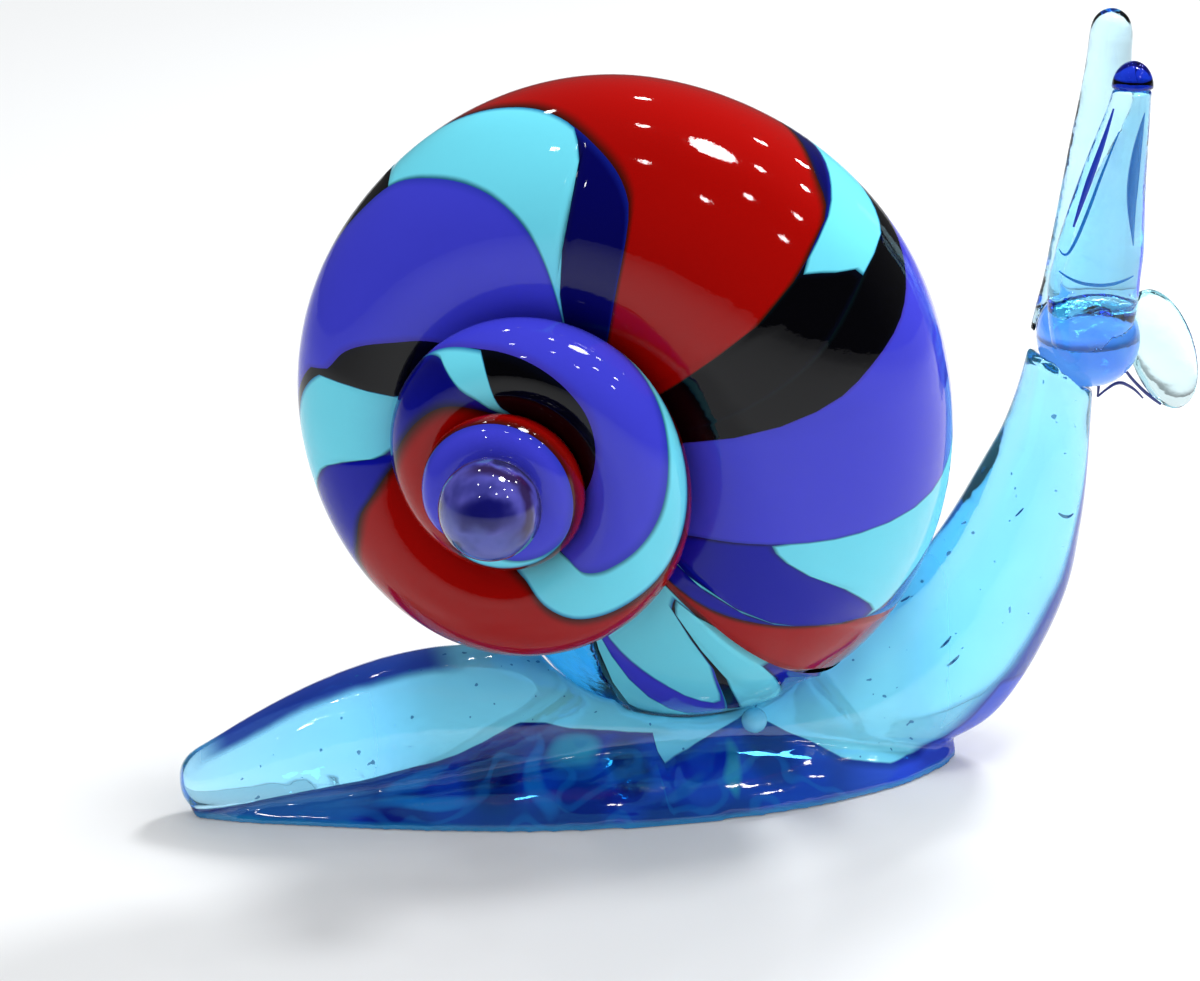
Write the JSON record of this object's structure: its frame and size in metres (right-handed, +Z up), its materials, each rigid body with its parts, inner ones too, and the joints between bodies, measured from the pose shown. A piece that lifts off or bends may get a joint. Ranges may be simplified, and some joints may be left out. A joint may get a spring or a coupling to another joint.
{
  "type": "snail figurine",
  "caption": "Lamp-worked glass snail ornament: clear blue body on a flat pressed foot, raised neck and feelers, and a shell wound from one tapered striped cane.",
  "frame": {"origin": "middle of the flat underside of the foot, on the surface that it stands on", "axes": "+X towards the head, -Y towards the side that shows the shell's apex, +Z up"},
  "size_m": [0.059, 0.0303, 0.043],
  "materials": {
    "aqua_glass": "clear fire polished aqua blue glass",
    "head_glass": "clear fire polished glass, deeper blue where it is thick",
    "pale_glass": "nearly colourless thin leaf of glass",
    "cobalt_glass": "dense cobalt glass, glossy",
    "striped_cane": "glossy twisted cane with red, cobalt, aqua, black and purple stripes",
    "bead_glass": "dark blue grey glass under a clear coat"
  },
  "bodies": {
    "root": {"body": "aqua_glass", "head": "head_glass", "near_feeler": "aqua_glass", "far_feeler": "aqua_glass", "feeler_tip": "cobalt_glass", "lip": "pale_glass", "shell_cane": "striped_cane", "mouth_seal": "aqua_glass", "apex_bead": "bead_glass", "weld_bead": "aqua_glass"}
  },
  "joints": []
}
